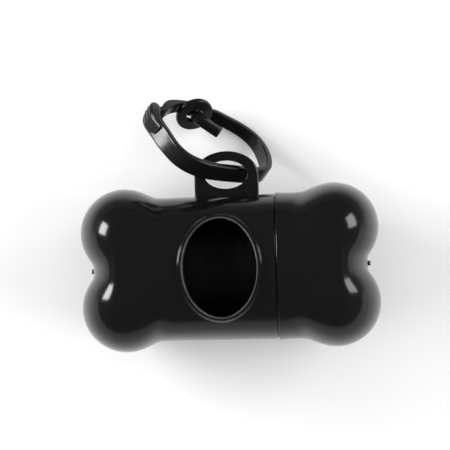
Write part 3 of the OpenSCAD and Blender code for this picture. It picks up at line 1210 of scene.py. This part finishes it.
    def build_eye(self) -> bpy.types.Object:
        """Builds the flat eye, a round plate with an oval slot for the hook.

        The slot is a circle whose halves are moved apart along the eye's face.

        Returns:
            The object.
        """
        ring = circle(full_circle(96))
        slot = self.slot_r * ring
        slot[:, 0] += self.slot_half * np.tanh(6 * ring[:, 0])
        patch = plate_patch(self.eye_r * ring, slot, self.eye_thick, (0.5, 0.3))
        along, width, inward = np.moveaxis(patch.points, -1, 0)
        patch.points = self.on_eye(along, inward, width)
        return mesh_object("clip_eye", self.lay, patch)

    def build_gate(self) -> bpy.types.Object:
        """Builds the short arm that the hook sits on."""
        rings = swept_rings(spline(np.array(self.gate), 12), 0.45, 0.4)
        return mesh_object("clip_gate_arm", self.lay, Patch(rings))

    def build_hook(self) -> bpy.types.Object:
        """Builds the hook: a bar down through the eye, bent along the loop, with flat ends.

        Its middle line is a straight root, an arc and a straight tail, and the rings stand square to it.
        The section is a rounded square: the distance from its middle is a share of the half width
        over the fourth root of the sum of the fourth powers of the turn's cosine and sine.

        Returns:
            The object.
        """
        bend = math.radians(self.hook_bend)
        arc = np.linspace(0.0, bend, 14)
        edge = circle(quarter_turn()[1:])
        flat_end = self.hook_tail + self.hook_r - self.hook_edge
        down = np.concatenate([[0.0, 0.0, 0.05], np.linspace(0.3, self.hook_root, 9)[:-1]])
        on = np.concatenate([np.linspace(0.3, flat_end, 8), flat_end + self.hook_edge * edge[:, 1]])
        on = np.append(on, on[-1])[:, None]
        root = np.column_stack([np.zeros(len(down)), down])
        bow = np.column_stack([1 - np.cos(arc), np.sin(arc)])
        elbow = np.array([0.0, self.hook_root]) + self.hook_bend_r * bow
        tail = elbow[-1] + on * np.array([math.sin(bend), math.cos(bend)])
        middle = np.concatenate([root, elbow, tail])
        lean = np.concatenate([np.zeros(len(root)), arc, np.full(len(tail), bend)])[:, None]
        size = np.full(len(middle), self.hook_r)
        size[:3] -= (self.hook_r, 0.15, 0.05)
        size[-6:-1] -= self.hook_edge * (1 - edge[:, 0])
        size[-1] = 0.0
        ring = circle(full_circle(48))
        radius = self.hook_square * size[:, None] / np.sum(ring**4, axis=1) ** 0.25
        out, width = radius * ring[:, 0], radius * ring[:, 1]
        along = self.hook_off + middle[:, :1] + out * np.cos(lean)
        inward = self.hook_top - self.hook_root + middle[:, 1:] - out * np.sin(lean)
        return mesh_object("clip_hook_bar", self.lay, Patch(self.on_eye(along, inward, width)))

    def web_run(self, share: np.ndarray) -> np.ndarray:
        """Points of the web's middle line, which is straight.

        Args:
            share: Place on the line, from -1, in the knuckle, to 1, in the gate.

        Returns:
            Rows of (across, up).
        """
        slope = math.radians(self.web_slope)
        way = np.array([math.cos(slope), math.sin(slope)])
        out = np.array([-way[1], way[0]])
        return np.array(self.web_at) + self.web_out * out + share[:, None] * self.web_half * way

    def web_bend(self) -> tuple[Vector, Vector]:
        """Where the web begins and ends to bend, in metres in the construction's frame."""
        ends = np.array([-self.web_bends, self.web_bends])
        flat = np.column_stack([self.web_run(ends), np.zeros(len(ends))])
        start, stop = self.lay(flat) * MM
        return Vector(start), Vector(stop)

    def build_web(self) -> bpy.types.Object:
        """Builds the web, waisted in the middle along a bell curve, that the gate bends on.

        Returns:
            The object.
        """
        share = np.linspace(-1.0, 1.0, 25)
        bell = np.exp(-((share * 2.2) ** 2))[:, None]
        size = np.array(self.web_size) - np.array(self.web_waist) * bell
        path = np.column_stack([self.web_run(share), size, np.zeros(len(share))])
        return mesh_object("clip_web", self.lay, Patch(swept_rings(path, 0.3, 0.1)))


# The roll of bags


@dataclass(frozen=True)
class BagRoll:
    """Bags wound on a card tube, lying in the bottom of the bore."""

    form: BoneForm
    radius: float = 15.6
    half_length: float = 29.0
    edge: float = 0.3
    turn_depth: float = 0.12
    turn_pitch: float = 0.45
    core_r: float = 7.5
    core_gap: float = 0.05
    core_wall: float = 0.8
    core_edge: float = 0.2
    drop: float = 1.95

    def _sink(self, points: np.ndarray) -> np.ndarray:
        """Moves points from the roll's own axis, which lies below the bone's, into the frame."""
        return self.form.place(points - np.array([0.0, 0.0, self.drop]))

    def build_film(self) -> bpy.types.Object:
        """Builds the wound film.

        The outside is a cylinder with shallow creases round it, which are waves along and around it,
        and the loose edge of the last bag as a step along it. The ends show the turns as a fine
        spiral of ridges.

        Returns:
            The object.
        """
        turn = full_circle(AROUND)
        inner_r = self.core_r + self.core_gap
        radii = np.linspace(inner_r, self.radius - self.edge, 60)[:, None]
        spiral = self.turn_depth * (0.5 + 0.5 * np.cos(radii / self.turn_pitch * FULL_TURN + turn))
        right = around(self.half_length - spiral, radii, turn)
        rounded = corner((self.half_length - self.edge, self.radius - self.edge), self.edge, 0, 90)
        edge = turned(rounded)
        x = np.linspace(rounded[-1, 0], -rounded[-1, 0], 90)[:, None]
        crease = 0.05 * np.sin(x * 1.9 + 2.0 * np.sin(turn + 0.4)) * np.sin(3 * turn + 0.21 * x)
        lap = 0.09 * smooth_step(0.0, 0.06, (turn - 0.9) % FULL_TURN)
        outside = around(x, self.radius - 0.16 + crease + lap, turn)
        mirror = np.array([-1.0, 1.0, 1.0])
        wall = np.linspace((-self.half_length, inner_r), (self.half_length, inner_r), 5)
        rows = [right, edge, outside, edge[::-1] * mirror, right[::-1] * mirror, turned(wall)]
        return mesh_object("wound_bags", self._sink, Patch(np.concatenate(rows), wrap_rows=True))

    def build_core(self) -> bpy.types.Object:
        """Builds the card tube with softly crushed ends, from one closed profile.

        Returns:
            The object.
        """
        inner_r, ease = self.core_r - self.core_wall, self.core_edge
        right = np.concatenate([corner((self.half_length - ease, self.core_r - ease), ease, 90, 0),
                                corner((self.half_length - ease, inner_r + ease), ease, 0, -90)])
        left = right[::-1] * np.array([-1.0, 1.0])
        near, far = self.half_length - 0.6, self.half_length - 0.3
        outer = straight((-near, self.core_r), (far, self.core_r), 12)
        inner = straight((near, inner_r), (-far, inner_r), 12)
        points = turned(np.concatenate([outer, right, inner, left]), count=96)
        return mesh_object("card_core", self._sink, Patch(points, wrap_rows=True))


# The studio


@dataclass(frozen=True)
class SoftLight:
    """A rectangular soft light that looks at the case. Angles are in degrees, lengths in metres."""

    name: str
    azimuth: float
    from_vertical: float
    distance: float
    width: float
    height: float
    power: float
    mirrored: bool = True

    def build(self, target: Vector) -> None:
        """Places the light.

        Args:
            target: Point that the light looks at.
        """
        data = bpy.data.lights.new(self.name, "AREA")
        data.shape = "RECTANGLE"
        data.size = self.width
        data.size_y = self.height
        data.energy = self.power
        lamp = scene_object(self.name, data)
        turn, down = math.radians(self.azimuth), math.radians(self.from_vertical)
        way = Vector((math.sin(down) * math.cos(turn), math.sin(down) * math.sin(turn), math.cos(down)))
        lamp.location = target + way * self.distance
        lamp.rotation_mode = "QUATERNION"
        lamp.rotation_quaternion = way.to_track_quat("Z", "Y")
        lamp.visible_glossy = self.mirrored


@dataclass(frozen=True)
class Studio:
    """Pale floor, soft lights, an even world and the camera of the photograph."""

    floor_half: float = 1.5
    world_level: float = 0.12
    target: tuple[float, float, float] = (0.0, -0.005, 0.015)
    lights: tuple[SoftLight, ...] = field(default_factory=lambda: (
        SoftLight("left_light", 156.0, 69.0, 0.45, 0.22, 0.17, 1.8),
        SoftLight("right_light", 24.0, 68.0, 0.45, 0.24, 0.19, 0.85),
        SoftLight("left_fill", 190.0, 62.0, 0.6, 0.4, 0.4, 1.95, mirrored=False),
        SoftLight("right_fill", -14.0, 64.0, 0.6, 0.4, 0.4, 2.95, mirrored=False),
        SoftLight("overhead_fill", 90.0, 8.0, 1.2, 1.2, 1.2, 3.35, mirrored=False)))
    # Painted shade of the floor as the case's gloss mirrors it.
    fade_from: float = 0.025
    fade_by: float = 0.095
    far_y: tuple[float, float] = (-0.03, 0.07)
    far_level: tuple[float, float] = (0.5, 0.12)
    white_from: float = 0.12
    white_by: float = 0.3
    lens_mm: float = 114.2
    camera_at: tuple[float, float, float] = (0.0171, -0.0138, 0.42959)
    camera_turn: tuple[float, float, float] = (1.69, 2.624, -1.822)

    def build_floor(self) -> None:
        """Lays the floor and gives it a matt white finish that stays pale to the camera.

        The gloss of the case mirrors a floor painted with shade: its colour grows darker with the
        distance from the middle, more so towards +Y, as in a small tent, and the camera sees it turn
        white further out.
        """
        half = self.floor_half
        corners = [(-half, -half, 0.0), (half, -half, 0.0), (half, half, 0.0), (-half, half, 0.0)]
        mesh = bpy.data.meshes.new("floor")
        mesh.from_pydata(corners, [], [(0, 1, 2, 3)])
        board = Board(bpy.data.materials.new("pale_floor"))
        where = board.place()
        out = board.length(board.mapped(where, (0.5, 1.0, 1.0), (0.0, 0.01, 0.0)))
        fade = board.ramp(out, self.fade_from, self.fade_by)
        far = board.ramp(board.part(where, "Y"), *self.far_y, *self.far_level)
        mirrored = board.node("LightPath", {}, "Is Glossy Ray")
        watched = board.node("LightPath", {}, "Is Camera Ray")
        # Painted shade: in reflections the floor's colour darkens away from the middle.
        share = 1.0 - mirrored * fade * (1.0 - far)
        matt = board.surface({"Base Color": board.between(share, grey(0.0), grey(0.9)),
                              "Roughness": 0.9, "Specular IOR Level": 0.0})
        white = board.node("Emission", {"Color": grey(1.0), "Strength": 1.0})
        away = board.ramp(out, self.white_from, self.white_by) * watched
        mesh.materials.append(board.finish(board.node("MixShader", {0: away, 1: matt, 2: white})))
        scene_object("floor", mesh)

    def build_world(self) -> None:
        """Sets an even grey world, which the camera sees as white."""
        board = Board(bpy.data.worlds.new("studio"))
        watched = board.node("LightPath", {}, "Is Camera Ray")
        level = board.ramp(watched, 0.0, 1.0, self.world_level, 1.0, "LINEAR")
        light = board.node("Background", {"Color": grey(1.0), "Strength": level})
        bpy.context.scene.world = board.finish(light, "OutputWorld")

    def build_camera(self) -> None:
        """Stands the camera nearly straight above the case."""
        data = bpy.data.cameras.new("camera")
        data.sensor_width = 36.0
        data.lens = self.lens_mm
        data.clip_start = 0.01
        data.clip_end = 20.0
        camera = scene_object("camera", data)
        camera.location = self.camera_at
        camera.rotation_mode = "XYZ"
        camera.rotation_euler = [math.radians(angle) for angle in self.camera_turn]
        bpy.context.scene.camera = camera

    def build(self) -> None:
        """Builds the whole stage."""
        self.build_floor()
        self.build_world()
        for light in self.lights:
            light.build(Vector(self.target))
        self.build_camera()
        bpy.context.scene.view_settings.view_transform = "Standard"


@dataclass(frozen=True)
class Seat:
    """Where a finished piece belongs: its body, its material slot and the nodes it stands for.

    A piece that bends across a joint also names the second body and the two ends of the bend.
    """

    body: str
    slot: str
    nodes: tuple[str, ...]
    bends_to: str | None = None
    bend: tuple[Vector, Vector] | None = None


def seat_piece(piece: bpy.types.Object, seat: Seat, finish: bpy.types.Material) -> None:
    """Dresses a piece, hangs it on its body, or fixes its place in its mesh if it bends across a joint,
    and hides the plain solids it stands for.

    Args:
        piece: The finished piece.
        seat: Where it belongs.
        finish: Its material.
    """
    piece.data.materials.append(finish)
    if seat.bends_to:
        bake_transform(piece)
    else:
        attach(piece, seat.body)
    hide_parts(*seat.nodes)
    LOG.info("%s: %d faces on %s", piece.name, len(piece.data.polygons), seat.body)


def main() -> None:
    """Builds every piece in order, then the studio."""
    logging.basicConfig(level=logging.INFO, format="%(name)s: %(message)s")
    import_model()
    form = BoneForm()
    shell, stubs, clip, roll = MainShell(form), GateStub(form), LoopClip(form), BagRoll(form)
    gloss = MouldedPlastic("polished_plastic", 0.005, 0.16, 0.00004).material()
    satin = MouldedPlastic("clip_plastic", 0.007, 0.24, 0.00006).material()
    # The shell's plastic, with a painted highlight along the opening's inner edge.
    edge_highlight = MouldedPlastic("polished_plastic_painted_rim_highlight", 0.005, 0.16, 0.00004, shell.painted_edge_highlight())
    case_seat = Seat("case", "shell", ("main_shell",))
    clip_seat = Seat("clip", "clip", ("clip_frame",))
    seat_piece(shell.build(), case_seat, edge_highlight.material())
    seat_piece(HangingTab(form).build(), case_seat, gloss)
    seat_piece(stubs.build(End.SHELL, 38.7), case_seat, gloss)
    seat_piece(EndCap(form).build(), Seat("cap", "shell", ("cap_shell",)), gloss)
    seat_piece(stubs.build(End.CAP, 38.86), Seat("cap_slide", "shell", ("cap_gate_nub",)), gloss)
    seat_piece(clip.build_band(), clip_seat, satin)
    seat_piece(clip.build_eye(), clip_seat, satin)
    seat_piece(clip.build_web(), Seat("clip", "clip", ("clip_hinge",), "gate", clip.web_bend()), satin)
    seat_piece(clip.build_gate(), Seat("gate", "clip", ("clip_gate",)), satin)
    seat_piece(clip.build_hook(), Seat("gate", "clip", ("clip_hook",)), satin)
    seat_piece(roll.build_film(), Seat("roll", "film", ("bag_roll",)), BagFilm().material())
    seat_piece(roll.build_core(), Seat("roll", "card", ("bag_core",)), Card().material())
    Studio().build()


if __name__ == "__main__":
    main()
